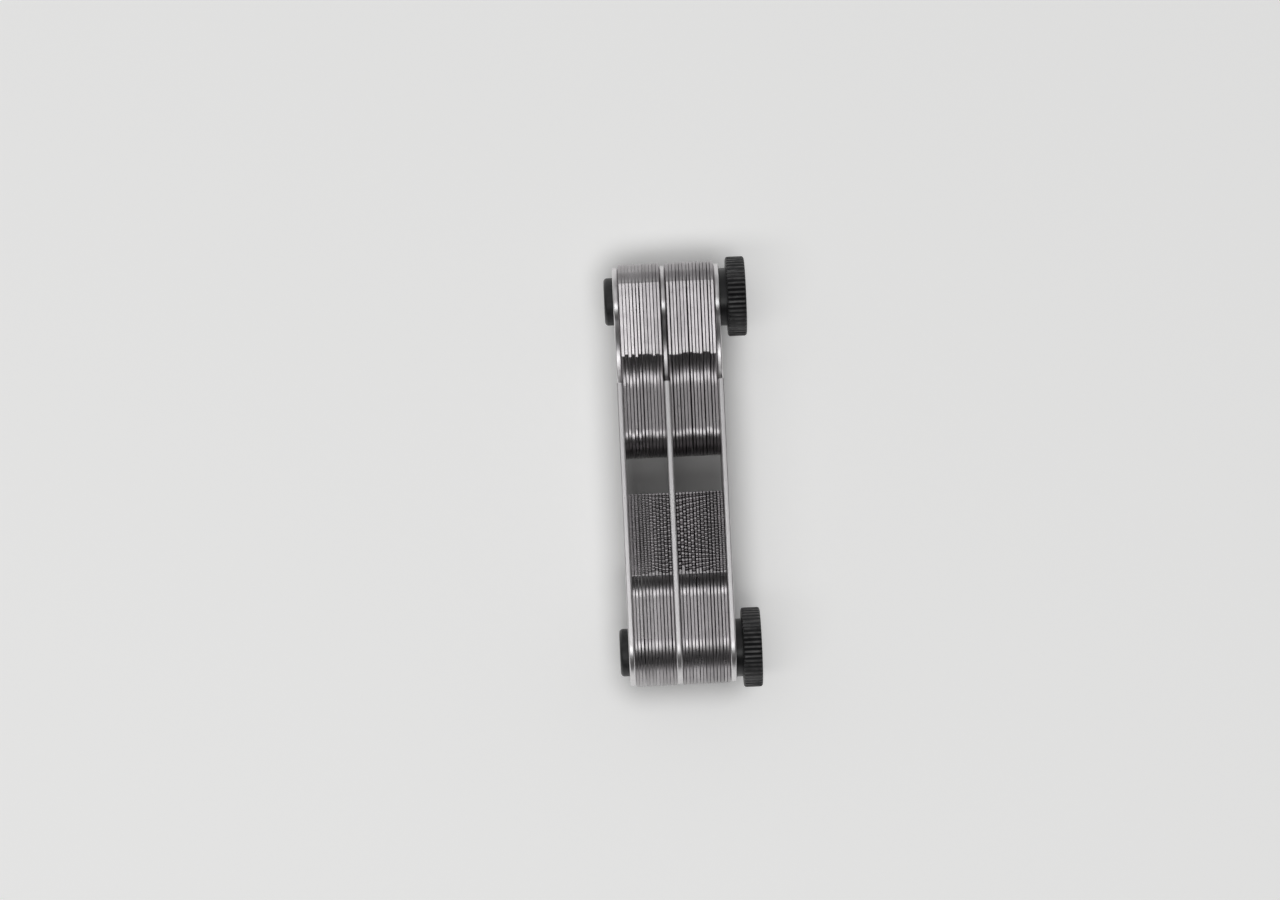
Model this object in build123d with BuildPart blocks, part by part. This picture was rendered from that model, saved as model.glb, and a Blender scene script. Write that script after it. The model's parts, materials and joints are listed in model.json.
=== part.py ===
from build123d import *
import os
from math import radians, sqrt, tan

# Thread pitch gauge, in millimetres. X runs along the two pivot screws, Y along the gauge and Z up from
# the surface that the strips' lower edges rest on. The lower end is at -Y, the upper end at +Y. The two
# ends are alike under half a turn about X.

# Strips: two cheeks and a centre strip, all of one outline
strip_width = 17.0
strip_thickness = 1.1
strip_edge_break = 0.08
eye_radius = 6.5
notch_along = 13.6
notch_radius = 14.4
notch_end_radius = 2.3

# Blades: sizes are measured from the pivot, along the blade and across it towards the teeth
blade_thickness = 0.6
blade_reach = 30.6
tooth_line = 8.1
tooth_start = 15.0
neck_edge = 6.6
neck_end = 10.7
end_radius = 9.6
end_reach = 6.9
heel_start = 3.0
heel_end = 10.6
heel_drop = 7.45
heel_slope = 9.0
back_recess = 2.3
back_recess_radius = 11.0
tip_radius = 5.7

# Screws and clamp nuts
shank_radius = 2.5
head_radius = 4.6
head_height = 1.75
head_edge_radius = 0.7
slot_width = 1.2
slot_depth = 0.8
shank_end_chamfer = 0.5
collar_radius = 5.6
collar_height = 1.35
rim_radius = 7.7
rim_height = 3.65
rim_edge_radius = 0.5
knurl_count = 52
knurl_depth = 0.33
bore_chamfer = 0.4

# Clearances
blade_gap = 0.06
tip_gap = 6.8
running_clearance = 0.05
strip_hole_clearance = 0.05
thread_clearance = 0.05
screw_end_recess = 0.4

# Teeth: half of the flank angle of each thread form, and the crest and root flats as shares of the pitch
metric_flank = 30.0
inch_flank = 27.5
crest_share = 0.3
root_share = 0.08
inch = 25.4

# Pitches from left to right: millimetres in the left pocket, threads per inch in the right one
lower_metric = (0.25, 0.3, 0.35, 0.4, 0.45, 0.5, 0.6, 0.7, 0.75, 0.8, 0.9, 1.0)
lower_inch = (19, 20, 22, 24, 25, 26, 28, 30, 32, 36, 40, 48, 60, 62)
upper_metric = (1.25, 1.5, 1.75, 2.0, 2.5, 3.0, 3.5, 4.0, 4.5, 5.0, 5.5, 6.0)
upper_inch = (4, 4.5, 5, 6, 7, 8, 9, 10, 11, 12, 13, 14, 16, 18)

# The folded blades of the two ends lie in line, tip to tip
pivot_spacing = 2 * blade_reach + tip_gap

# Stack along X, from the screw heads' outer faces to the nuts' outer faces
blade_step = blade_thickness + blade_gap
left_pocket = len(lower_metric) * blade_step + blade_gap
right_pocket = len(lower_inch) * blade_step + blade_gap
nut_height = collar_height + rim_height
stack = 3 * strip_thickness + left_pocket + right_pocket
head_x = -(head_height + stack + nut_height) / 2
left_cheek_x = head_x + head_height
left_pocket_x = left_cheek_x + strip_thickness
centre_strip_x = left_pocket_x + left_pocket
right_pocket_x = centre_strip_x + strip_thickness
right_cheek_x = right_pocket_x + right_pocket
collar_x = right_cheek_x + strip_thickness
rim_x = collar_x + collar_height
pivot_height = strip_width / 2

# Ends of the gauge: the lower end's blades lie towards +Y with their teeth up, the upper end's the other way
LOWER = 1
UPPER = -1


def cross_plane(x, y):
    """Plane across the gauge at x, centred at height of the pivots: its x runs along Y and its y along Z."""
    return Plane(origin=(x, y, pivot_height), x_dir=(0, 1, 0), z_dir=(1, 0, 0))


def pivot_plane(x, end):
    """Plane of one blade: its x runs from the pivot to the blade's tip and its y towards the teeth."""
    return Plane(origin=(x, -end * pivot_spacing / 2, pivot_height), x_dir=(0, end, 0), z_dir=(1, 0, 0))


def finish(builder, name):
    """Label a finished piece and write it under its own name."""
    builder.part.label = name
    export_step(builder.part, f"parts/{name}.step")


def make_strip(name, x):
    """One strip: straight edges, rounded ends, and a thumb notch that slopes down from the eye at each end."""
    half = strip_width / 2
    pivot = pivot_spacing / 2
    shoulder = (-pivot + half - eye_radius, half)
    crown = (-pivot - eye_radius, 0)
    centres = eye_radius + notch_radius
    notch_across = sqrt(centres**2 - notch_along**2)
    eye_to_notch = eye_radius / centres
    notch_in = (-pivot + notch_along * eye_to_notch, -notch_across * eye_to_notch)
    notch_low = (-pivot + notch_along, notch_radius - notch_across)
    notch_end = (notch_low[0] + notch_end_radius, notch_low[1] - notch_end_radius)
    notch_out = (notch_end[0], -half)
    corners = (shoulder, crown, notch_in, notch_low, notch_end, notch_out)
    with BuildPart() as strip:
        with BuildSketch(cross_plane(x, 0)):
            with BuildLine():
                for turn in (1, -1):
                    points = [Vector(*corner) * turn for corner in corners]
                    rounding = TangentArc(points[0], points[1], tangent=(-turn, 0))
                    eye = TangentArc(points[1], points[2], tangent=rounding % 1)
                    slope = TangentArc(points[2], points[3], tangent=eye % 1)
                    TangentArc(points[3], points[4], tangent=slope % 1)
                    Polyline(points[4], points[5], -points[0])
            make_face()
            with Locations((-pivot, 0), (pivot, 0)):
                Circle(shank_radius + strip_hole_clearance, mode=Mode.SUBTRACT)
        extrude(amount=strip_thickness)
        chamfer(strip.faces().filter_by(Axis.X).edges(), strip_edge_break)
    finish(strip, name)


def tooth_points(pitch, half_angle):
    """Corners of the toothed edge, from the blade's tip towards its neck: whole teeth, then a plain land."""
    crest = pitch * crest_share
    root = pitch * root_share
    flank = (pitch - crest - root) / 2
    depth = flank / tan(radians(half_angle))
    points = [(blade_reach, tooth_line)]
    for tooth in range(int((blade_reach - tooth_start - crest) / pitch)):
        crest_end = blade_reach - tooth * pitch - crest
        points.append((crest_end, tooth_line))
        points.append((crest_end - flank, tooth_line - depth))
        points.append((crest_end - flank - root, tooth_line - depth))
        points.append((crest_end - 2 * flank - root, tooth_line))
    points.append((tooth_start, tooth_line))
    return points


def make_blade(name, x, end, pitch, half_angle):
    """One blade: rounded end, straight neck and toothed edge, with a sloping heel and a recessed back."""
    neck_start = (end_radius - end_reach, neck_edge)
    crown = (-end_reach, neck_edge - end_radius)
    heel_first = (-heel_start, -heel_drop)
    heel_last = (heel_end, -heel_drop + (heel_start + heel_end) * tan(radians(heel_slope)))
    back_edge = heel_last[1] + back_recess
    back_start = (heel_end + sqrt(2 * back_recess_radius * back_recess - back_recess**2), back_edge)
    tip_start = (blade_reach - tip_radius, back_edge)
    tip_end = (blade_reach, back_edge + tip_radius)
    with BuildPart() as blade:
        with BuildSketch(pivot_plane(x, end)):
            with BuildLine():
                rounding = TangentArc(neck_start, crown, tangent=(-1, 0))
                TangentArc(crown, heel_first, tangent=rounding % 1)
                Line(heel_first, heel_last)
                TangentArc(back_start, heel_last, tangent=(-1, 0))
                Line(back_start, tip_start)
                TangentArc(tip_start, tip_end, tangent=(1, 0))
                Polyline(tip_end, *tooth_points(pitch, half_angle))
                TangentArc((neck_end, neck_edge), (tooth_start, tooth_line), tangent=(1, 0))
                Line((neck_end, neck_edge), neck_start)
            make_face()
            Circle(shank_radius + running_clearance, mode=Mode.SUBTRACT)
        extrude(amount=blade_thickness)
    finish(blade, name)


def make_blade_set(pocket_x, end, unit, sizes):
    """All the blades of one pocket at one end, each named by its pitch or its threads per inch."""
    for place, size in enumerate(sizes):
        x = pocket_x + blade_gap + place * blade_step
        pitch = size if unit == "metric" else inch / size
        half_angle = metric_flank if unit == "metric" else inch_flank
        make_blade(f"blade_{unit}_{size:g}".replace(".", "_"), x, end, pitch, half_angle)


def make_screw(name, end):
    """One pivot screw: slotted head outside the left cheek, and a shank that ends inside the clamp nut."""
    y = -end * pivot_spacing / 2
    with BuildPart() as screw:
        with BuildSketch(cross_plane(head_x, y)):
            Circle(head_radius)
        extrude(amount=head_height)
        fillet(screw.edges().filter_by(GeomType.CIRCLE).sort_by(Axis.X)[0], head_edge_radius)
        with BuildSketch(cross_plane(left_cheek_x, y)):
            Circle(shank_radius)
        extrude(amount=stack + nut_height - screw_end_recess)
        chamfer(screw.edges().filter_by(GeomType.CIRCLE).sort_by(Axis.X)[-1], shank_end_chamfer)
        with BuildSketch(cross_plane(head_x, y)):
            Rectangle(2 * head_radius, slot_width)
        extrude(amount=slot_depth, mode=Mode.SUBTRACT)
    finish(screw, name)


def make_nut(name, end):
    """One clamp nut: a plain collar against the right cheek and a rim with straight knurling."""
    y = -end * pivot_spacing / 2
    bore_radius = shank_radius + thread_clearance
    with BuildPart() as nut:
        with BuildSketch(cross_plane(rim_x, y)):
            Circle(rim_radius)
        extrude(amount=rim_height)
        fillet(nut.edges().filter_by(GeomType.CIRCLE), rim_edge_radius)
        with BuildSketch(cross_plane(rim_x, y)):
            with PolarLocations(rim_radius, knurl_count):
                Rectangle(knurl_depth * sqrt(2), knurl_depth * sqrt(2), rotation=45)
        extrude(amount=rim_height, mode=Mode.SUBTRACT)
        with BuildSketch(cross_plane(collar_x, y)):
            Circle(collar_radius)
        extrude(amount=collar_height)
        with BuildSketch(cross_plane(collar_x, y)):
            Circle(bore_radius)
        extrude(amount=nut_height, mode=Mode.SUBTRACT)
        bore = nut.faces().filter_by(GeomType.CYLINDER).sort_by(SortBy.RADIUS)[0]
        chamfer(bore.edges().filter_by(GeomType.CIRCLE), bore_chamfer)
    finish(nut, name)


os.makedirs("parts", exist_ok=True)

make_strip("cheek_strip_left", left_cheek_x)
make_strip("centre_strip", centre_strip_x)
make_strip("cheek_strip_right", right_cheek_x)

make_blade_set(left_pocket_x, LOWER, "metric", lower_metric)
make_blade_set(right_pocket_x, LOWER, "inch", lower_inch)
make_blade_set(left_pocket_x, UPPER, "metric", upper_metric)
make_blade_set(right_pocket_x, UPPER, "inch", upper_inch)

for end, side in ((LOWER, "lower"), (UPPER, "upper")):
    make_screw(f"pivot_screw_{side}", end)
    make_nut(f"clamp_nut_{side}", end)
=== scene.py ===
"""Looks of the thread pitch gauge: ground blades, satin strips, black screws and knurled nuts."""

import json
import logging
import math
from dataclasses import dataclass
from enum import Enum
from functools import cache

import bmesh
import bpy
import numpy as np
from mathutils.geometry import tessellate_polygon
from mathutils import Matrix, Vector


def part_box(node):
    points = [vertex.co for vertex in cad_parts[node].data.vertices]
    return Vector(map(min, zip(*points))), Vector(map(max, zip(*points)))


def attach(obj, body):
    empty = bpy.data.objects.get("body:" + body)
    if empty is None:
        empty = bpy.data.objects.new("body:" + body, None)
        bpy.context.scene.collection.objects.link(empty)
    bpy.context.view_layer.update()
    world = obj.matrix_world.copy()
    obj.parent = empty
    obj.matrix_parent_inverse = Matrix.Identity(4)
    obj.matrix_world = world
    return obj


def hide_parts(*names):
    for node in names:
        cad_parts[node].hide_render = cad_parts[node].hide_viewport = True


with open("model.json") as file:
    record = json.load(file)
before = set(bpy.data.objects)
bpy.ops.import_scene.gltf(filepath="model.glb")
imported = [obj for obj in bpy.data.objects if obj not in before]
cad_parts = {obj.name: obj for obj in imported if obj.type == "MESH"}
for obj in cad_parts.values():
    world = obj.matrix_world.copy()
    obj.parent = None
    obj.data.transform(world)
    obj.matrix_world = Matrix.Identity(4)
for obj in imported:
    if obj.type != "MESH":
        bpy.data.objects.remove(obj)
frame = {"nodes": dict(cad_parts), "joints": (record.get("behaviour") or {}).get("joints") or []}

LOG = logging.getLogger("thread_pitch_gauge")
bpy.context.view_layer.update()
MM = 0.001
INCH = 25.4
CREASE = math.radians(32.0)
HOLE_STEP = 7.5
ROUND_ANGLES = np.radians([0.0, 30.0, 60.0, 90.0])


class End(Enum):
    """The two ends of the gauge: the value turns a blade's own axes into the frame's Y and Z."""

    LOWER = 1
    UPPER = -1


class ThreadForm(Enum):
    """Tooth forms by half of their flank angle in degrees."""

    METRIC = 30.0
    INCH = 27.5


def new_mesh(name: str, vertices: np.ndarray, faces: list[list[int]]) -> bpy.types.Object:
    """Put worked-out points and faces into a mesh object at the origin, with its corners kept sharp.

    Args:
        name: Name of the piece.
        vertices: Points in metres, one row each.
        faces: Corner numbers of each face, outward by the right-hand rule.

    Returns:
        The new object, linked into the scene.
    """
    mesh = bpy.data.meshes.new(name)
    mesh.from_pydata(vertices.tolist(), [], faces)
    mesh.validate()
    mesh.shade_smooth()
    mesh.set_sharp_from_angle(angle=CREASE)
    piece = bpy.data.objects.new(name, mesh)
    bpy.context.scene.collection.objects.link(piece)
    return piece


def band(first: np.ndarray, second: np.ndarray) -> np.ndarray:
    """Quads between two rows of corner numbers of one length: each joins a step of one row to the other."""
    return np.stack([first[:-1], first[1:], second[1:], second[:-1]], axis=1)


def arc(centre: np.ndarray, radius: float, start: float, stop: float, step: float = 4.0) -> np.ndarray:
    """Points on an arc at equal angles about its centre.

    Args:
        centre: Centre in the plane.
        radius: Radius of the arc.
        start: First angle in degrees, counter-clockwise from the plane's first axis.
        stop: Last angle in degrees; below the first one the arc runs clockwise.
        step: Widest angle between two points.

    Returns:
        The points, one row each.
    """
    count = math.ceil(abs(stop - start) / step) + 1
    angles = np.radians(np.linspace(start, stop, count))
    return np.asarray(centre) + radius * np.stack([np.cos(angles), np.sin(angles)], axis=1)


def inward_directions(points: np.ndarray) -> np.ndarray:
    """Unit directions into a closed counter-clockwise outline, square to the mean of a point's two runs."""
    runs = np.roll(points, -1, axis=0) - points
    runs /= np.linalg.norm(runs, axis=1, keepdims=True)
    along = runs + np.roll(runs, 1, axis=0)
    along /= np.linalg.norm(along, axis=1, keepdims=True)
    return np.stack([-along[:, 1], along[:, 0]], axis=1)


def rounded_plate(outline: np.ndarray, inward: np.ndarray, radius: np.ndarray, holes: list[np.ndarray],
                  x_faces: np.ndarray) -> tuple[np.ndarray, list[list[int]]]:
    """Work out a flat piece that lies across the gauge, with its outline rounded over towards both faces.

    At angle a of the quarter round, a point lies (1 - sin a) radii inside the outline and (1 - cos a) radii
    under its face. The faces are filled between the rounding and the holes, whose walls are straight. The
    filling runs clockwise, so it is given the plane's axes in turned order, which makes it counter-clockwise.

    Args:
        outline: Closed outline, counter-clockwise as seen from +X, one row a point.
        inward: Direction into the piece at each point.
        radius: Rounding at each point.
        holes: Closed outlines of the holes, counter-clockwise.
        x_faces: Places of the two faces along X, the lower one first.

    Returns:
        The points as rows of x and the two in the plane, and the faces' corner numbers.
    """
    inset = np.concatenate([1 - np.sin(ROUND_ANGLES), 1 - np.sin(ROUND_ANGLES[::-1])])
    sink = np.concatenate([1 - np.cos(ROUND_ANGLES), np.cos(ROUND_ANGLES[::-1]) - 1])
    across = np.repeat(x_faces, len(ROUND_ANGLES))[:, None] + sink[:, None] * radius
    flat = outline + inward * (inset[:, None] * radius)[..., None]
    count, last_row = len(outline), len(inset) - 1
    loop = np.append(np.arange(count), 0)
    quads = [band(loop + count * row, loop + count * (row + 1)) for row in range(last_row)]
    rim = np.concatenate([across[..., None], flat], axis=2).reshape(-1, 3)
    rings = [flat[0], *holes]
    fill = np.array(tessellate_polygon([ring[:, ::-1].tolist() for ring in rings]))
    hole_points = np.concatenate(holes)
    hole_ids = len(rim) + np.arange(2 * len(hole_points)).reshape(2, -1)
    hole_rows = [np.column_stack([np.full(len(hole_points), x), hole_points]) for x in x_faces]
    low_ids = np.concatenate([loop[:-1], hole_ids[0]])
    high_ids = np.concatenate([loop[:-1] + count * last_row, hole_ids[1]])
    for ring in np.split(np.arange(len(hole_points)), np.cumsum([len(hole) for hole in holes])[:-1]):
        closed = np.append(ring, ring[0])
        quads.append(band(hole_ids[1][closed], hole_ids[0][closed]))
    faces = np.concatenate(quads).tolist() + low_ids[fill][:, ::-1].tolist() + high_ids[fill].tolist()
    return np.concatenate([rim, *hole_rows]), faces


def set_tone(piece: bpy.types.Object, tone: float) -> None:
    """Store one number on every point of a piece, which its finish reads as its shade."""
    attribute = piece.data.attributes.new("tone", "FLOAT", "POINT")
    attribute.data.foreach_set("value", np.full(len(piece.data.vertices), tone, np.float32))


class NodeTree:
    """Short way to add and join nodes in one node tree."""

    def __init__(self, tree: bpy.types.NodeTree) -> None:
        """Hold the tree that nodes are added to."""
        self.tree = tree

    def add(self, kind: str, inputs: dict | None = None, **settings: object) -> bpy.types.Node:
        """Add a node.

        Args:
            kind: Blender's type name of the node.
            inputs: Socket name or number to a constant, or to another node's output socket.
            settings: Properties of the node itself.

        Returns:
            The new node.
        """
        node = self.tree.nodes.new(kind)
        for key, value in settings.items():
            setattr(node, key, value)
        for key, value in (inputs or {}).items():
            if isinstance(value, bpy.types.NodeSocket):
                self.tree.links.new(value, node.inputs[key])
            else:
                node.inputs[key].default_value = value
        return node

    def add_group(self, group: bpy.types.NodeTree, **inputs: object) -> bpy.types.bpy_prop_collection:
        """Place an effect group with its inputs by name, and return its outputs."""
        return self.add("ShaderNodeGroup", inputs, node_tree=group).outputs

    def add_share(self, mask: bpy.types.NodeSocket, share: float,
                  base: bpy.types.NodeSocket) -> bpy.types.NodeSocket:
        """Add a share of a mask to a value, and return the sum."""
        return self.add("ShaderNodeMath", {0: mask, 1: share, 2: base}, operation="MULTIPLY_ADD").outputs[0]

    def join(self, source: bpy.types.NodeSocket, target: bpy.types.NodeSocket) -> None:
        """Link one socket to another."""
        self.tree.links.new(source, target)


def start_material(name: str) -> tuple[bpy.types.Material, NodeTree, bpy.types.Node]:
    """Make a material, and return it with its node tree and its shader."""
    material = bpy.data.materials.new(name)
    material.use_nodes = True
    return material, NodeTree(material.node_tree), material.node_tree.nodes["Principled BSDF"]


class EffectGroups:
    """Shader node groups that the finishes share, each built once."""

    @staticmethod
    def _start(name: str, inputs: dict[str, str], outputs: tuple[str, ...]) -> NodeTree:
        """Make an empty group with its sockets.

        Args:
            name: Name of the group.
            inputs: Socket name to its type: Float or Vector.
            outputs: Names of the outputs, which are all numbers.

        Returns:
            The tree to build in.
        """
        group = bpy.data.node_groups.new(name, "ShaderNodeTree")
        for label, kind in inputs.items():
            group.interface.new_socket(label, in_out="INPUT", socket_type=f"NodeSocket{kind}")
        for label in outputs:
            group.interface.new_socket(label, in_out="OUTPUT", socket_type="NodeSocketFloat")
        return NodeTree(group)

    @staticmethod
    @cache
    def grinding() -> bpy.types.NodeTree:
        """Grinding lines: noise stretched by its scale, put out as a mask round 0.5."""
        tree = EffectGroups._start("grinding_lines", {"Scale": "Vector"}, ("Mask",))
        scale = tree.add("NodeGroupInput").outputs["Scale"]
        place = tree.add("ShaderNodeTexCoord").outputs["Object"]
        spread = tree.add("ShaderNodeVectorMath", {0: place, 1: scale}, operation="MULTIPLY")
        noise = tree.add("ShaderNodeTexNoise", {"Vector": spread.outputs[0], "Scale": 1.0, "Detail": 3.0,
                                                "Roughness": 0.65})
        tree.add("NodeGroupOutput", {"Mask": noise.outputs["Fac"]})
        return tree.tree

    @staticmethod
    @cache
    def handling() -> bpy.types.NodeTree:
        """Handling film: soft uneven patches, put out as a mask from 0 to 1."""
        tree = EffectGroups._start("handling_film", {"Scale": "Float"}, ("Mask",))
        scale = tree.add("NodeGroupInput").outputs["Scale"]
        place = tree.add("ShaderNodeTexCoord").outputs["Object"]
        noise = tree.add("ShaderNodeTexNoise", {"Vector": place, "Scale": scale, "Detail": 4.0,
                                                "Roughness": 0.55, "Distortion": 0.6})
        ramp = tree.add("ShaderNodeMapRange", {"Value": noise.outputs["Fac"], "From Min": 0.35,
                                               "From Max": 0.68})
        tree.add("NodeGroupOutput", {"Mask": ramp.outputs["Result"]})
        return tree.tree

    @staticmethod
    @cache
    def specks() -> bpy.types.NodeTree:
        """Specks: the few peaks of a fine noise, put out as a mask that is 1 on a speck."""
        tree = EffectGroups._start("dark_specks", {"Scale": "Float"}, ("Mask",))
        scale = tree.add("NodeGroupInput").outputs["Scale"]
        place = tree.add("ShaderNodeTexCoord").outputs["Object"]
        noise = tree.add("ShaderNodeTexNoise", {"Vector": place, "Scale": scale, "Detail": 1.0})
        ramp = tree.add("ShaderNodeMapRange", {"Value": noise.outputs["Fac"], "From Min": 0.71,
                                               "From Max": 0.76})
        tree.add("NodeGroupOutput", {"Mask": ramp.outputs["Result"]})
        return tree.tree

    @staticmethod
    @cache
    def turning() -> bpy.types.NodeTree:
        """Turning marks: rings about the nearer of two pivots, which lie alike on both sides of the middle.

        The mask lies round 0.5, and the radius is the distance from the pivot's axis, which runs along X.
        """
        tree = EffectGroups._start("turning_rings", {"Scale": "Float", "Pivot": "Vector"}, ("Mask", "Radius"))
        given = tree.add("NodeGroupInput").outputs
        place = tree.add("ShaderNodeTexCoord").outputs["Object"]
        folded = tree.add("ShaderNodeVectorMath", {0: place}, operation="ABSOLUTE").outputs[0]
        offset = tree.add("ShaderNodeVectorMath", {0: folded, 1: given["Pivot"]}, operation="SUBTRACT")
        flat = tree.add("ShaderNodeVectorMath", {0: offset.outputs[0], 1: (0.0, 1.0, 1.0)},
                        operation="MULTIPLY")
        radius = tree.add("ShaderNodeVectorMath", {0: flat.outputs[0]}, operation="LENGTH").outputs["Value"]
        spread = tree.add("ShaderNodeMath", {0: radius, 1: given["Scale"]}, operation="MULTIPLY")
        noise = tree.add("ShaderNodeTexNoise", {"W": spread.outputs[0], "Scale": 1.0, "Detail": 2.0},
                         noise_dimensions="1D")
        tree.add("NodeGroupOutput", {"Mask": noise.outputs["Fac"], "Radius": radius})
        return tree.tree


@dataclass(frozen=True)
class SteelFinish:
    """Bare steel with grinding lines, a faint film and few specks; the tone attribute shades whole pieces."""

    name: str
    dark: tuple[float, float, float]
    light: tuple[float, float, float]
    roughness: tuple[float, float]
    line_scale: tuple[float, float, float]
    line_depth: float
    film_scale: float
    speck_scale: float
    line_share: float = 0.4
    film_share: float = 0.2
    speck_share: float = -0.6
    line_strength: float = 0.1

    @cache
    def material(self) -> bpy.types.Material:
        """Build the material once."""
        material, tree, shader = start_material(self.name)
        shader.inputs["Metallic"].default_value = 1.0
        lines = tree.add_group(EffectGroups.grinding(), Scale=self.line_scale)["Mask"]
        film = tree.add_group(EffectGroups.handling(), Scale=self.film_scale)["Mask"]
        specks = tree.add_group(EffectGroups.specks(), Scale=self.speck_scale)["Mask"]
        tone = tree.add("ShaderNodeAttribute", attribute_name="tone").outputs["Fac"]
        lined = tree.add_share(lines, self.line_share, tone)
        mixed = tree.add_share(film, self.film_share, lined)
        shade = tree.add_share(specks, self.speck_share, mixed)
        colour = tree.add("ShaderNodeMix", {0: shade, 6: (*self.dark, 1.0), 7: (*self.light, 1.0)},
                          data_type="RGBA")
        rough = tree.add("ShaderNodeMapRange", {"Value": mixed, "To Min": self.roughness[1],
                                                "To Max": self.roughness[0]})
        bump = tree.add("ShaderNodeBump", {"Height": lines, "Strength": self.line_strength,
                                           "Distance": self.line_depth})
        tree.join(colour.outputs[2], shader.inputs["Base Color"])
        tree.join(rough.outputs["Result"], shader.inputs["Roughness"])
        tree.join(bump.outputs["Normal"], shader.inputs["Normal"])
        return material


@dataclass(frozen=True)
class DarkFinish:
    """Dark matt ground of an etched mark: uneven patches and a fine grain."""

    name: str
    base: tuple[float, float, float]
    rubbed: tuple[float, float, float]
    roughness: tuple[float, float]
    film_scale: float
    grain_scale: float
    grain_strength: float = 0.25
    grain_depth: float = 0.00002

    @cache
    def material(self) -> bpy.types.Material:
        """Build the material once."""
        material, tree, shader = start_material(self.name)
        film = tree.add_group(EffectGroups.handling(), Scale=self.film_scale)["Mask"]
        grain = tree.add_group(EffectGroups.grinding(), Scale=(self.grain_scale,) * 3)["Mask"]
        colour = tree.add("ShaderNodeMix", {0: film, 6: (*self.base, 1.0), 7: (*self.rubbed, 1.0)},
                          data_type="RGBA")
        rough = tree.add("ShaderNodeMapRange", {"Value": film, "To Min": self.roughness[0],
                                                "To Max": self.roughness[1]})
        bump = tree.add("ShaderNodeBump", {"Height": grain, "Strength": self.grain_strength,
                                           "Distance": self.grain_depth})
        tree.join(colour.outputs[2], shader.inputs["Base Color"])
        tree.join(rough.outputs["Result"], shader.inputs["Roughness"])
        tree.join(bump.outputs["Normal"], shader.inputs["Normal"])
        return material


@dataclass(frozen=True)
class TurnedFinish:
    """Blackened turned steel: rings about its pivot, a grey bloom, and wear on the crests furthest out."""

    name: str
    base: tuple[float, float, float]
    rubbed: tuple[float, float, float]
    worn: tuple[float, float, float]
    roughness: tuple[float, float]
    film_scale: float
    ring_scale: float
    ring_depth: float
    wear_depth: float
    ring_span: tuple[float, float] = (0.35, 0.65)

    @cache
    def material(self, pivot: tuple[float, float, float], rim_radius: float) -> bpy.types.Material:
        """Build the material once.

        Args:
            pivot: A point of the upper pivot's axis, in metres.
            rim_radius: Radius in metres at which the crests lie.

        Returns:
            The material.
        """
        material, tree, shader = start_material(self.name)
        film = tree.add_group(EffectGroups.handling(), Scale=self.film_scale)["Mask"]
        rings = tree.add_group(EffectGroups.turning(), Scale=self.ring_scale, Pivot=pivot)
        ringed = tree.add("ShaderNodeMapRange", {"Value": rings["Mask"], "From Min": self.ring_span[0],
                                                 "From Max": self.ring_span[1]})
        patchy = tree.add("ShaderNodeMath", {0: ringed.outputs["Result"], 1: film}, operation="MULTIPLY")
        bloom = tree.add("ShaderNodeMix", {0: patchy.outputs[0], 6: (*self.base, 1.0),
                                           7: (*self.rubbed, 1.0)}, data_type="RGBA")
        crest = tree.add("ShaderNodeMapRange", {"Value": rings["Radius"], "From Max": rim_radius,
                                                "From Min": rim_radius - self.wear_depth})
        wear = tree.add("ShaderNodeMath", {0: crest.outputs["Result"], 1: film}, operation="MULTIPLY")
        colour = tree.add("ShaderNodeMix", {0: wear.outputs[0], 6: bloom.outputs[2], 7: (*self.worn, 1.0)},
                          data_type="RGBA")
        rough = tree.add("ShaderNodeMapRange", {"Value": ringed.outputs["Result"],
                                                "To Min": self.roughness[0], "To Max": self.roughness[1]})
        bump = tree.add("ShaderNodeBump", {"Height": rings["Mask"], "Distance": self.ring_depth})
        tree.join(colour.outputs[2], shader.inputs["Base Color"])
        tree.join(rough.outputs["Result"], shader.inputs["Roughness"])
        tree.join(bump.outputs["Normal"], shader.inputs["Normal"])
        return material


BLADE_STEEL = SteelFinish(
    name="ground_blade_steel", dark=(0.272, 0.26, 0.266), light=(0.605, 0.58, 0.594), roughness=(0.22, 0.36),
    line_scale=(5000.0, 320.0, 5000.0), line_depth=0.000005, film_scale=260.0, speck_scale=2300.0)
STRIP_STEEL = SteelFinish(
    name="satin_strip_steel", dark=(0.66, 0.645, 0.652), light=(0.98, 0.96, 0.97), roughness=(0.24, 0.38),
    line_scale=(3000.0, 90.0, 3000.0), line_depth=0.000006, film_scale=180.0, speck_scale=1700.0)
BLACK_OXIDE = TurnedFinish(
    name="blackened_steel", base=(0.010, 0.010, 0.011), rubbed=(0.036, 0.036, 0.037),
    worn=(0.10, 0.098, 0.099), roughness=(0.26, 0.50), film_scale=420.0, ring_scale=4200.0,
    ring_depth=0.00002, wear_depth=0.00012)
ETCHED_MARK = DarkFinish(
    name="etched_mark", base=(0.03, 0.03, 0.03), rubbed=(0.07, 0.07, 0.068), roughness=(0.55, 0.75),
    film_scale=900.0, grain_scale=12000.0)


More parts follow.
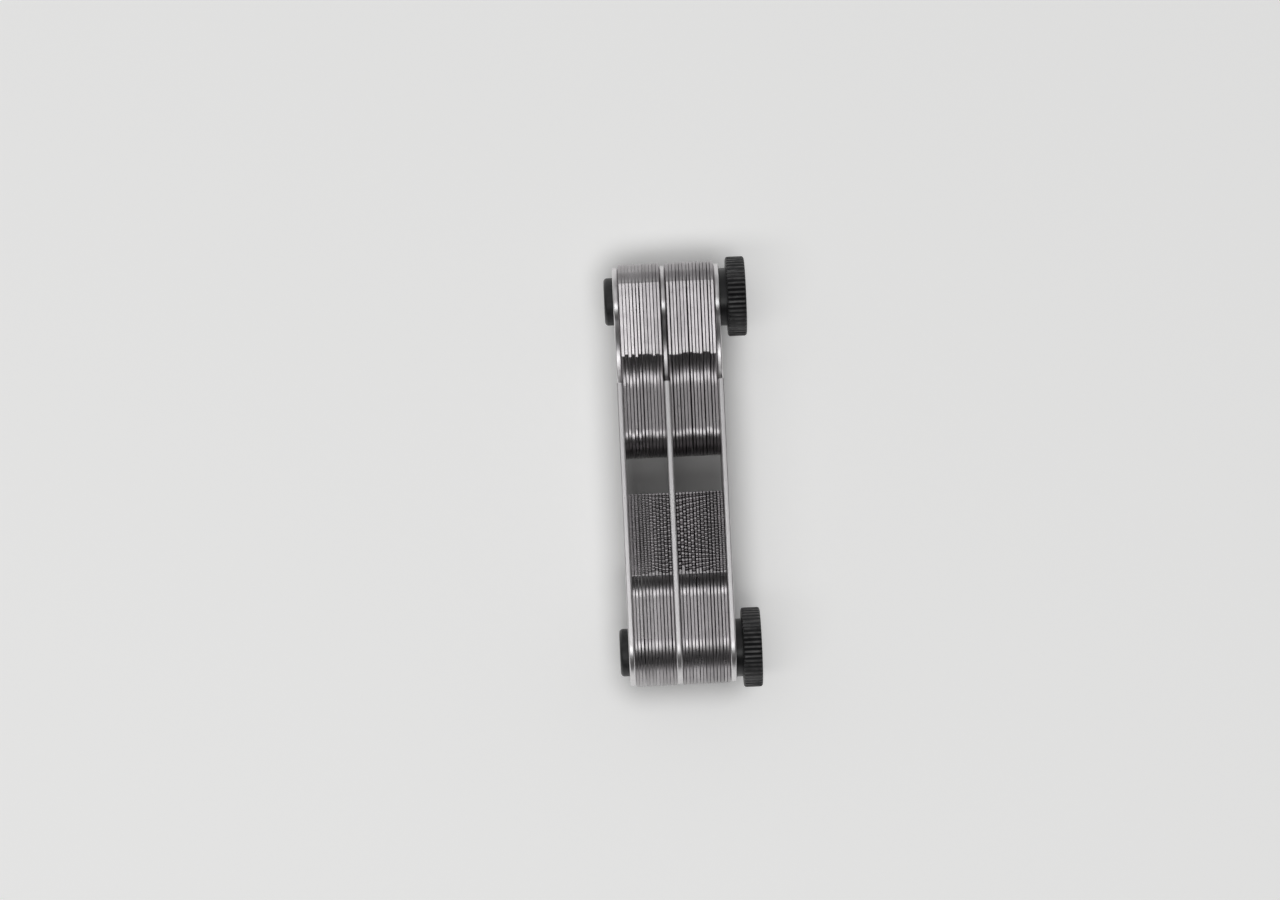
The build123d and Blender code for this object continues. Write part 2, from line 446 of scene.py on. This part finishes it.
@dataclass
class Blade:
    """One toothed blade, in millimetres from its pivot: u along it, v across it towards the teeth."""

    node: str
    end: End
    form: ThreadForm
    pitch: float
    label: str
    tone: float
    stagger: float
    edge_radius: float
    slack: tuple[float, float]
    crest_share: float = 0.3
    root_share: float = 0.08
    tooth_start: float = 15.0
    neck_edge: float = 6.6
    neck_end: float = 10.7
    end_radius: float = 9.6
    heel_start: float = 3.0
    heel_end: float = 10.6
    heel_slope: float = 9.0
    back_recess: float = 2.3
    back_recess_radius: float = 11.0
    tip_radius: float = 5.7
    bore_radius: float = 2.55
    tooth_rounding: float = 0.22
    least_step: float = 0.004
    lower_arc_points: int = 15
    upper_arc_points: int = 19
    hollow_points: int = 13
    tip_points: int = 19
    rise_points: int = 9
    mark_height: float = 2.7
    mark_depth: float = 0.006
    mark_u: float = 21.0
    mark_v: float = 0.6

    def __post_init__(self) -> None:
        """Read the blade's reach from its solid's box, and work out where its arcs and lines meet."""
        low, high = (np.array(corner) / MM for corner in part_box(self.node))
        self.pivot = np.array(next(j["pos_m"] for j in frame["joints"] if j["child"] == self.node)) / MM
        self.x_faces = np.array([low[0] + self.slack[0], high[0] - self.slack[1]])
        spans = np.sort(self.end.value * (np.stack([low, high]) - self.pivot), axis=0)
        self.end_reach, self.heel_drop = -spans[0, 1:]
        self.reach, self.tooth_line = spans[1, 1:]
        self.neck_end += self.stagger
        self.heel_end += self.stagger
        self.tip_radius -= self.stagger
        self.crown_v = self.neck_edge - self.end_radius
        self.upper_u = self.end_radius - self.end_reach
        crown_run = self.end_reach - self.heel_start
        crown_drop = self.heel_drop + self.crown_v
        self.lower_radius = (crown_run**2 + crown_drop**2) / (2 * crown_run)
        self.lower_u = self.lower_radius - self.end_reach
        self.heel_rise = math.tan(math.radians(self.heel_slope))
        heel_last = (self.heel_start + self.heel_end) * self.heel_rise - self.heel_drop
        self.back_edge = heel_last + self.back_recess
        self.back_start = self.heel_end + math.sqrt(
            2 * self.back_recess_radius * self.back_recess - self.back_recess**2)
        self.tip_start = self.reach - self.tip_radius
        neck_rise = self.tooth_line - self.neck_edge
        self.neck_radius = ((self.tooth_start - self.neck_end) ** 2 + neck_rise**2) / (2 * neck_rise)

    def tooth_corners(self) -> tuple[np.ndarray, np.ndarray]:
        """Corners of the toothed edge from the neck to the tip: four a tooth, repeated by the pitch.

        Returns:
            The corners' u and v, rising in u.
        """
        crest = self.crest_share * self.pitch
        flank = (1 - self.crest_share - self.root_share) * self.pitch / 2
        depth = flank / math.tan(math.radians(self.form.value))
        count = int((self.reach - self.tooth_start - crest) / self.pitch)
        offsets = np.array([self.pitch, self.pitch - flank, crest + flank, crest])
        starts = self.reach - np.arange(count - 1, -1, -1) * self.pitch
        u = (starts[:, None] - offsets[None, :]).ravel()
        v = self.tooth_line - depth * np.tile([0.0, 1.0, 1.0, 0.0], count)
        return np.append(u, self.reach), np.append(v, self.tooth_line)

    def back_places(self) -> np.ndarray:
        """Places along the back where it is cut: in the end arc, the hollow and the round of the tip."""
        arc_end = math.acos((self.lower_u + self.heel_start) / self.lower_radius)
        end = self.lower_u - self.lower_radius * np.cos(np.linspace(0.0, arc_end, self.lower_arc_points))
        hollow = np.linspace(self.heel_end, self.back_start, self.hollow_points)
        tip_turn = np.linspace(0.0, math.pi / 2, self.tip_points)
        tip = self.tip_start + self.tip_radius * np.sin(tip_turn)
        return np.concatenate([end, hollow, tip])

    def toothed_places(self) -> np.ndarray:
        """Places along the toothed side where it is cut: in the end arc, the neck's rise and at the teeth."""
        end_turn = np.linspace(0.0, math.pi / 2, self.upper_arc_points)[1:]
        end = self.upper_u - self.end_radius * np.cos(end_turn)
        rise = np.linspace(self.neck_end, self.tooth_start, self.rise_points)
        places = np.concatenate([end, rise, self.tooth_corners()[0]])
        return places[np.append(True, np.diff(places) > self.least_step)]

    def lower_edge(self, u: np.ndarray) -> np.ndarray:
        """The back: end arc, sloping heel, hollow arc, straight back, then the round of the tip."""
        end = self.crown_v - np.sqrt(np.maximum(self.lower_radius**2 - (u - self.lower_u) ** 2, 0.0))
        heel = (u + self.heel_start) * self.heel_rise - self.heel_drop
        hollow = self.back_edge - self.back_recess_radius + np.sqrt(
            np.maximum(self.back_recess_radius**2 - (self.back_start - u) ** 2, 0.0))
        tip = self.back_edge + self.tip_radius - np.sqrt(
            np.maximum(self.tip_radius**2 - (u - self.tip_start) ** 2, 0.0))
        spans = [u < -self.heel_start, u < self.heel_end, u < self.back_start, u < self.tip_start]
        return np.select(spans, [end, heel, hollow, np.full_like(u, self.back_edge)], tip)

    def upper_edge(self, u: np.ndarray) -> np.ndarray:
        """The toothed side: end arc, straight neck, concave rise, then the teeth by straight runs."""
        end = self.crown_v + np.sqrt(np.maximum(self.end_radius**2 - (u - self.upper_u) ** 2, 0.0))
        rise = self.neck_edge + self.neck_radius - np.sqrt(
            np.maximum(self.neck_radius**2 - (u - self.neck_end) ** 2, 0.0))
        teeth = np.interp(u, *self.tooth_corners(), left=self.tooth_line)
        spans = [u < self.upper_u, u < self.neck_end, u < self.tooth_start]
        return np.select(spans, [end, np.full_like(u, self.neck_edge), rise], teeth)

    def outline(self) -> tuple[np.ndarray, np.ndarray, np.ndarray]:
        """Closed outline: along the back to the tip, over the tip's middle, and back along the toothed side.

        Returns:
            The outline's points, their inward directions, and the rounding at each one.
        """
        u = self.back_places()
        back = np.stack([u, self.lower_edge(u)], axis=1)
        u = self.toothed_places()[::-1]
        toothed_side = np.stack([u, self.upper_edge(u)], axis=1)
        middle = (back[-1:] + toothed_side[:1]) / 2
        points = np.concatenate([back, middle, toothed_side])
        inward = inward_directions(points)
        radius = np.full(len(points), self.edge_radius)
        tip_middle, tip_corner = len(back), len(back) + 1
        toothed = (np.arange(len(points)) >= tip_corner) & (points[:, 0] > self.tooth_start)
        inward[toothed] = (0.0, -1.0)
        radius[toothed] = min(self.edge_radius, self.tooth_rounding * self.pitch)
        inward[tip_corner] = (-1.0, -1.0)
        inward[tip_middle] = (-1.0, 0.0)
        return points, inward, radius

    def place(self, local: np.ndarray) -> np.ndarray:
        """Turn rows of x, u and v in millimetres into the frame's metres."""
        turn = self.end.value
        return np.stack([local[:, 0], self.pivot[1] + turn * local[:, 1], self.pivot[2] + turn * local[:, 2]],
                        axis=1) * MM

    def build_body(self) -> bpy.types.Object:
        """Make the blade as a rounded plate with its bore.

        Returns:
            The blade, in place of its solid and riding on its body.
        """
        points, inward, radius = self.outline()
        bore = arc(np.zeros(2), self.bore_radius, 0.0, 360.0, HOLE_STEP)[:-1]
        vertices, faces = rounded_plate(points, inward, radius, [bore], self.x_faces)
        piece = new_mesh(f"ground_{self.node}", self.place(vertices), faces)
        set_tone(piece, self.tone)
        piece.modifiers.new("even_faces", "WEIGHTED_NORMAL").keep_sharp = True
        piece.data.materials.append(BLADE_STEEL.material())
        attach(piece, self.node)
        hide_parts(self.node)
        return piece

    def build_mark(self, outward: int) -> bpy.types.Object:
        """Etch the blade's pitch on one face, as flat letters with their top towards the teeth.

        Args:
            outward: 1 for the face towards +X, -1 for the face towards -X.

        Returns:
            The mark, riding on the blade.
        """
        curve = bpy.data.curves.new(f"mark_{self.node}", "FONT")
        curve.body = self.label
        curve.size = self.mark_height
        curve.align_x = "CENTER"
        curve.align_y = "CENTER"
        curve.extrude = self.mark_depth / 2
        letters = bpy.data.objects.new(f"mark_{self.node}", curve)
        bpy.context.scene.collection.objects.link(letters)
        shape = letters.evaluated_get(bpy.context.evaluated_depsgraph_get())
        mesh = bpy.data.meshes.new_from_object(shape)
        bpy.data.objects.remove(letters)
        welded = bmesh.new()
        welded.from_mesh(mesh)
        bmesh.ops.remove_doubles(welded, verts=welded.verts, dist=self.mark_depth / 10)
        welded.to_mesh(mesh)
        welded.free()
        flat = np.empty(len(mesh.vertices) * 3)
        mesh.vertices.foreach_get("co", flat)
        flat = flat.reshape(-1, 3)
        face = self.x_faces[(outward + 1) // 2]
        local = np.stack([face + outward * flat[:, 2], self.mark_u + outward * flat[:, 0],
                          self.mark_v + flat[:, 1]], axis=1)
        mesh.vertices.foreach_set("co", self.place(local).ravel())
        mesh.update()
        mark = bpy.data.objects.new(f"mark_{self.node}", mesh)
        bpy.context.scene.collection.objects.link(mark)
        mesh.materials.clear()
        mesh.materials.append(ETCHED_MARK.material())
        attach(mark, self.node)
        return mark


@dataclass
class BladeStack:
    """All the blades, read from the frame's joints by their names."""

    seed: int = 52
    tone_mean: float = 0.15
    tone_spread: float = 0.16
    stagger_spread: float = 0.28
    slack_most: float = 0.1
    fine_edge: tuple[float, float] = (0.06, 0.11)
    coarse_edge: tuple[float, float] = (0.05, 0.11)

    def build(self) -> list[bpy.types.Object]:
        """Build every blade with its own pitch, shade and mark; marks face out of the gauge."""
        random = np.random.default_rng(self.seed)
        nodes = [joint["child"] for joint in frame["joints"] if joint["child"].startswith("blade_")]
        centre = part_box("centre_strip")[0].x
        pieces = []
        for node in nodes:
            unit, size = node.removeprefix("blade_").split("_", 1)
            label = size.replace("_", ".")
            form = ThreadForm[unit.upper()]
            pitch = float(label) if form is ThreadForm.METRIC else INCH / float(label)
            low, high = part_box(node)
            end = End.LOWER if low.y + high.y < 0 else End.UPPER
            tone = self.tone_mean + float(random.uniform(-self.tone_spread, self.tone_spread))
            stagger = float(random.uniform(-self.stagger_spread, self.stagger_spread))
            edge = float(random.uniform(*(self.fine_edge if end is End.LOWER else self.coarse_edge)))
            slack = tuple(float(room) for room in self.slack_most * random.random(2) ** 3)
            blade = Blade(node, end, form, pitch, label, tone, stagger, edge, slack)
            pieces += [blade.build_body(), blade.build_mark(1 if low.x > centre else -1)]
        return pieces


@dataclass
class Strip:
    """One strip, its sizes in millimetres from the middle between the pivots: y along it, z across it."""

    node: str
    tone: float
    notch_along: float = 13.6
    notch_radius: float = 14.4
    notch_end_radius: float = 2.3
    hole_radius: float = 2.55
    edge_radius: float = 0.28

    def __post_init__(self) -> None:
        """Read the strip's size from its solid's box and its pivots from the frame's joints."""
        low, high = (np.array(corner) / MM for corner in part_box(self.node))
        self.x_faces = np.array([low[0], high[0]])
        self.half = (high[2] - low[2]) / 2
        self.mid_height = (high[2] + low[2]) / 2
        self.pivot = max(joint["pos_m"][1] for joint in frame["joints"]) / MM
        self.eye_radius = high[1] - self.pivot

    def outline(self) -> np.ndarray:
        """Closed outline: end rounding, eye and thumb notch as arcs, then the same turned by half a turn."""
        eye = np.array([-self.pivot, 0.0])
        centres = self.eye_radius + self.notch_radius
        meeting = -math.degrees(math.acos(self.notch_along / centres))
        notch = eye + (self.notch_along, -math.sqrt(centres**2 - self.notch_along**2))
        notch_end = notch + (0.0, self.notch_radius - self.notch_end_radius)
        half_outline = np.concatenate([
            arc(eye + (self.half - self.eye_radius, 0.0), self.half, 90.0, 180.0),
            arc(eye, self.eye_radius, 180.0, 360.0 + meeting)[1:],
            arc(notch, self.notch_radius, 180.0 + meeting, 90.0)[1:],
            arc(notch_end, self.notch_end_radius, 90.0, 0.0)[1:],
            [(notch_end[0] + self.notch_end_radius, -self.half)]])
        return np.concatenate([half_outline, -half_outline])

    def build(self) -> bpy.types.Object:
        """Make the strip as a rounded plate with its two holes.

        Returns:
            The strip, in place of its solid and riding on the gauge's frame.
        """
        points = self.outline()
        radius = np.full(len(points), self.edge_radius)
        holes = [arc((side * self.pivot, 0.0), self.hole_radius, 0.0, 360.0, HOLE_STEP)[:-1]
                 for side in (-1, 1)]
        vertices, faces = rounded_plate(points, inward_directions(points), radius, holes, self.x_faces)
        vertices[:, 2] += self.mid_height
        piece = new_mesh(f"satin_{self.node}", vertices * MM, faces)
        set_tone(piece, self.tone)
        piece.modifiers.new("even_faces", "WEIGHTED_NORMAL").keep_sharp = True
        piece.data.materials.append(STRIP_STEEL.material())
        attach(piece, "frame")
        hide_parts(self.node)
        return piece


@dataclass
class StripSet:
    """The three strips, each with its own shade."""

    tones: tuple[tuple[str, float], ...] = (("cheek_strip_left", 0.06), ("centre_strip", -0.06),
                                            ("cheek_strip_right", 0.0))

    def build(self) -> list[bpy.types.Object]:
        """Build each strip."""
        return [Strip(node, tone).build() for node, tone in self.tones]


@dataclass
class ClampSet:
    """The screws and knurled nuts, which keep their solids' shapes."""

    screws: tuple[str, ...] = ("pivot_screw_lower", "pivot_screw_upper")
    nuts: tuple[str, ...] = ("clamp_nut_lower", "clamp_nut_upper")

    def build(self) -> list[bpy.types.Object]:
        """Give each screw and nut its black finish."""
        low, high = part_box(self.nuts[1])
        pivot = next(tuple(joint["pos_m"]) for joint in frame["joints"] if joint["child"] == self.nuts[1])
        finish = BLACK_OXIDE.material(pivot, (high.z - low.z) / 2)
        pieces = [frame["nodes"][node] for node in self.screws + self.nuts]
        for piece in pieces:
            piece.data.materials.clear()
            piece.data.materials.append(finish)
        return pieces


@dataclass(frozen=True)
class SoftBox:
    """A soft lamp that faces the gauge: its place by angles in degrees, its sizes in metres.

    The tilt is measured from straight overhead and the turn on the floor from +X towards +Y. The lamp is then
    shifted along X. A mirror that shows a lamp of radiance 1 looks white.
    """

    name: str
    tilt: float
    turn: float
    distance: float
    width: float
    length: float
    radiance: float
    side_shift: float

    def build(self) -> bpy.types.Object:
        """Hang the lamp: its power is pi times its radiance and its area."""
        light = bpy.data.lights.new(self.name, "AREA")
        light.shape = "RECTANGLE"
        light.size, light.size_y = self.width, self.length
        light.energy = math.pi * self.radiance * self.width * self.length
        lamp = bpy.data.objects.new(self.name, light)
        bpy.context.scene.collection.objects.link(lamp)
        lean, heading = math.radians(self.tilt), math.radians(self.turn)
        lamp.location = (self.distance * math.sin(lean) * math.cos(heading) + self.side_shift,
                         self.distance * math.sin(lean) * math.sin(heading), self.distance * math.cos(lean))
        lamp.rotation_euler = (lean, 0.0, heading + math.pi / 2)
        lamp.visible_camera = False
        return lamp


KEY_BOX = SoftBox(name="key_soft_box", tilt=18.5, turn=-90.0, distance=0.95, width=1.20, length=0.285,
                  radiance=2.35, side_shift=-0.28)
TOP_BOX = SoftBox(name="top_soft_box", tilt=14.0, turn=90.0, distance=1.00, width=0.55, length=0.90,
                  radiance=0.36, side_shift=-0.14)


@dataclass
class Studio:
    """Pale floor, soft lamps and the camera, which looks straight down as the photograph does."""

    floor_half: float = 3.0
    floor_drop: float = 0.00002
    floor_colour: tuple[float, float, float] = (0.85, 0.85, 0.84)
    floor_roughness: float = 0.8
    near_glow: float = 0.38
    far_glow: float = 0.59
    glow_reach: tuple[float, float] = (0.2, 1.8)
    shade_inset: float = 0.003
    shade_reach: float = 0.010
    sky_bright: float = 0.40
    sky_dim: float = 0.02
    sky_turn: tuple[float, float] = (-0.2, 0.5)
    horizon: float = 0.775
    horizon_rise: tuple[float, float] = (0.14, 0.24)
    photo_width: float = 1280.0
    photo_height: float = 900.0
    stack_centre_px: tuple[float, float] = (674.7, 475.0)
    px_per_mm: float = 5.23
    distance: float = 0.65
    roll: float = 2.6
    sensor: float = 36.0

    def floor_material(self) -> bpy.types.Material:
        """Pale matt floor with a glow for sight and reflections only.

        The glow makes up for the lamps' fading with distance. It fades out under the gauge and within about a
        centimetre round it, which paints a soft shadow on the floor there, also where the floor shows between
        the blades' tips.

        Returns:
            The material.
        """
        material, tree, shader = start_material("pale_floor")
        shader.inputs["Base Color"].default_value = (*self.floor_colour, 1.0)
        shader.inputs["Roughness"].default_value = self.floor_roughness
        shader.inputs["Specular IOR Level"].default_value = 0.0
        shader.inputs["Emission Color"].default_value = (1.0, 1.0, 1.0, 1.0)
        low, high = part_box("cheek_strip_left")[0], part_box("cheek_strip_right")[1]
        covered = ((high.x - low.x) / 2 - self.shade_inset, (high.y - low.y) / 2 - self.shade_inset, 0.0)
        place = tree.add("ShaderNodeTexCoord").outputs["Object"]
        centre = ((low.x + high.x) / 2, (low.y + high.y) / 2, 0.0)
        centred = tree.add("ShaderNodeVectorMath", {0: place, 1: centre}, operation="SUBTRACT")
        folded = tree.add("ShaderNodeVectorMath", {0: centred.outputs[0]}, operation="ABSOLUTE")
        offset = tree.add("ShaderNodeVectorMath", {0: folded.outputs[0], 1: covered}, operation="SUBTRACT")
        outside = tree.add("ShaderNodeVectorMath", {0: offset.outputs[0], 1: (0.0, 0.0, 0.0)},
                           operation="MAXIMUM")
        away = tree.add("ShaderNodeVectorMath", {0: outside.outputs[0]}, operation="LENGTH").outputs["Value"]
        # Painted shadow: the glow is nil over the gauge's footprint less the inset, and rises over the shade
        # reach round it, so the floor is darker under and round the gauge.
        near = tree.add("ShaderNodeMapRange", {"Value": away, "From Max": self.shade_reach,
                                               "To Max": self.near_glow}, interpolation_type="SMOOTHSTEP")
        far = tree.add("ShaderNodeMapRange", {"Value": away, "From Min": self.glow_reach[0],
                                              "From Max": self.glow_reach[1],
                                              "To Max": self.far_glow - self.near_glow},
                       interpolation_type="SMOOTHSTEP")
        glow = tree.add("ShaderNodeMath", {0: near.outputs["Result"], 1: far.outputs["Result"]},
                        operation="ADD")
        tree.join(self.seen(tree, glow.outputs[0]), shader.inputs["Emission Strength"])
        return material

    @staticmethod
    def seen(tree: NodeTree, strength: bpy.types.NodeSocket) -> bpy.types.NodeSocket:
        """A strength that holds only for what the camera, a reflection or a clear body sees."""
        path = tree.add("ShaderNodeLightPath").outputs
        glossy = tree.add("ShaderNodeMath", {0: path["Is Camera Ray"], 1: path["Is Glossy Ray"]},
                          operation="MAXIMUM")
        either = tree.add("ShaderNodeMath", {0: glossy.outputs[0], 1: path["Is Transmission Ray"]},
                          operation="MAXIMUM")
        shown = tree.add("ShaderNodeMath", {0: either.outputs[0], 1: strength}, operation="MULTIPLY")
        return shown.outputs[0]

    def build_floor(self) -> bpy.types.Object:
        """One wide flat sheet just under the strips' lower edges."""
        side = np.linspace(-self.floor_half, self.floor_half, 3)
        x, y = np.meshgrid(side, side, indexing="ij")
        points = np.stack([x, y, np.full_like(x, -self.floor_drop)], axis=2).reshape(-1, 3)
        ids = np.arange(9).reshape(3, 3)
        faces = np.concatenate([band(ids[0], ids[1])[:, ::-1], band(ids[1], ids[2])[:, ::-1]])
        floor = new_mesh("studio_floor", points, faces.tolist())
        floor.data.materials.append(self.floor_material())
        return floor

    def build_world(self) -> None:
        """Surroundings that dim towards -Y, with a pale band round the horizon that carries on the floor."""
        world = bpy.data.worlds.new("studio_world")
        bpy.context.scene.world = world
        world.use_nodes = True
        tree = NodeTree(world.node_tree)
        background = world.node_tree.nodes["Background"]
        heading = tree.add("ShaderNodeTexCoord").outputs["Generated"]
        parts = tree.add("ShaderNodeSeparateXYZ", {"Vector": heading}).outputs
        sky = tree.add("ShaderNodeMapRange", {"Value": parts["Y"], "From Min": self.sky_turn[0],
                                              "From Max": self.sky_turn[1], "To Min": self.sky_dim,
                                              "To Max": self.sky_bright})
        above = tree.add("ShaderNodeMapRange", {"Value": parts["Z"], "From Min": self.horizon_rise[0],
                                                "From Max": self.horizon_rise[1]},
                         interpolation_type="SMOOTHSTEP")
        strength = tree.add("ShaderNodeMix", {0: above.outputs["Result"], 2: self.horizon,
                                              3: sky.outputs["Result"]}, data_type="FLOAT")
        tree.join(strength.outputs[0], background.inputs["Strength"])
        background.inputs["Color"].default_value = (1.0, 1.0, 1.0, 1.0)

    def build_camera(self) -> bpy.types.Object:
        """Place the camera over the point of the frame that lies at the photograph's centre."""
        low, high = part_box("cheek_strip_left")[0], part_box("cheek_strip_right")[1]
        right_mm = (self.photo_width / 2 - self.stack_centre_px[0]) / self.px_per_mm
        up_mm = (self.stack_centre_px[1] - self.photo_height / 2) / self.px_per_mm
        turn = math.radians(self.roll)
        x = (low.x + high.x) / 2 + (right_mm * math.cos(turn) + up_mm * math.sin(turn)) * MM
        y = (-right_mm * math.sin(turn) + up_mm * math.cos(turn)) * MM
        data = bpy.data.cameras.new("photo_camera")
        data.sensor_width = self.sensor
        data.lens = self.px_per_mm * self.distance / MM * self.sensor / self.photo_width
        camera = bpy.data.objects.new("photo_camera", data)
        bpy.context.scene.collection.objects.link(camera)
        camera.location = (x, y, high.z + self.distance)
        camera.rotation_euler = (0.0, 0.0, -turn)
        bpy.context.scene.camera = camera
        return camera

    def build(self) -> None:
        """Set the floor, lamps, world, camera and view."""
        self.build_floor()
        for soft_box in (KEY_BOX, TOP_BOX):
            soft_box.build()
        self.build_world()
        self.build_camera()
        bpy.context.scene.view_settings.view_transform = "Standard"


def main() -> None:
    """Build the gauge's parts in order and report each piece."""
    logging.basicConfig(level=logging.INFO)
    for part in (StripSet(), BladeStack(), ClampSet()):
        for piece in part.build():
            LOG.info("%s dressed by %s", piece.name, type(part).__name__)
    Studio().build()


if __name__ == "__main__":
    main()
